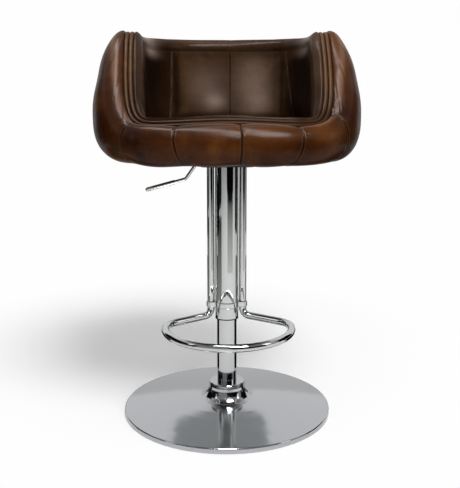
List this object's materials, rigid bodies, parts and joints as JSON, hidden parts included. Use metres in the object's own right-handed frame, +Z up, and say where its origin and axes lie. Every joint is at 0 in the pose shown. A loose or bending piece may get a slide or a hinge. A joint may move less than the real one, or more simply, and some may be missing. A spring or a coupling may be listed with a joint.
{
  "type": "bar stool",
  "caption": "Bar stool with a rolled leather tub seat that swivels and rises on a chrome column, with a tube footrest, a height lever and a round domed base.",
  "frame": {"origin": "on the floor, at the axis of the column", "axes": "+Z up along the column, the front of the seat faces -Y, the height lever points to -X"},
  "size_m": [0.5329, 0.4784, 0.8098],
  "materials": {
    "chrome": "polished",
    "chrome_satin": "brushed satin",
    "cast": "as cast",
    "rubber": "matte",
    "steel": "zinc plated",
    "cage": "stamped",
    "plastic": "matte",
    "cylinder_paint": "satin",
    "plate_paint": "satin",
    "ply": "bare plywood",
    "dust_cloth": "woven",
    "leather": "waxed, aged",
    "piping": "waxed, aged"
  },
  "bodies": {
    "base": {"base_cover": "chrome_satin", "ballast": "cast", "foot_ring": "rubber", "post": "chrome", "flange_screws": "steel", "lower_bearing_washer": "steel", "ball_cage": "cage", "bearing_balls": "steel", "guide_bush": "plastic"},
    "rod": {"piston_rod": "steel", "rod_clip": "steel", "upper_bearing_washer": "steel", "rubber_buffer": "rubber", "piston": "steel"},
    "seat": {"gas_cylinder": "cylinder_paint", "cylinder_seal": "rubber", "sleeve": "chrome", "sleeve_bush": "plastic", "footrest": "chrome", "footrest_collar": "chrome", "taper_socket": "steel", "seat_plate": "plate_paint", "lever_bracket": "plate_paint", "pivot_pin": "steel", "plate_bolts": "steel", "tee_nuts": "steel", "seat_board": "ply", "dust_cover": "dust_cloth", "tub_frame": "ply", "outer_roll": "leather", "inner_lining": "leather", "seat_cushion": "leather", "outer_piping": "piping", "inner_piping": "piping"},
    "lever": {"lever": "chrome", "lever_grip": "chrome"},
    "valve": {"valve_pin": "steel"}
  },
  "joints": [
    {"name": "swivel", "type": "hinge", "parent": "base", "child": "rod", "pos_m": [0, 0, 0.026], "axis": [0, 0, 1], "continuous": true},
    {"name": "lift", "type": "slide", "parent": "rod", "child": "seat", "axis": [0, 0, 1], "range_m": [0, 0.2]},
    {"name": "lever_hinge", "type": "hinge", "parent": "seat", "child": "lever", "pos_m": [-0.04, 0, 0.5495], "axis": [0, 1, 0], "range_deg": [0, 6], "stiffness_Nm_per_rad": 6},
    {"name": "valve_slide", "type": "slide", "parent": "seat", "child": "valve", "axis": [0, 0, -1], "range_m": [0, 0.005]}
  ],
  "couplings": [
    {"joint": "valve_slide", "follows": "lever_hinge", "m_per_rad": 0.04}
  ]
}
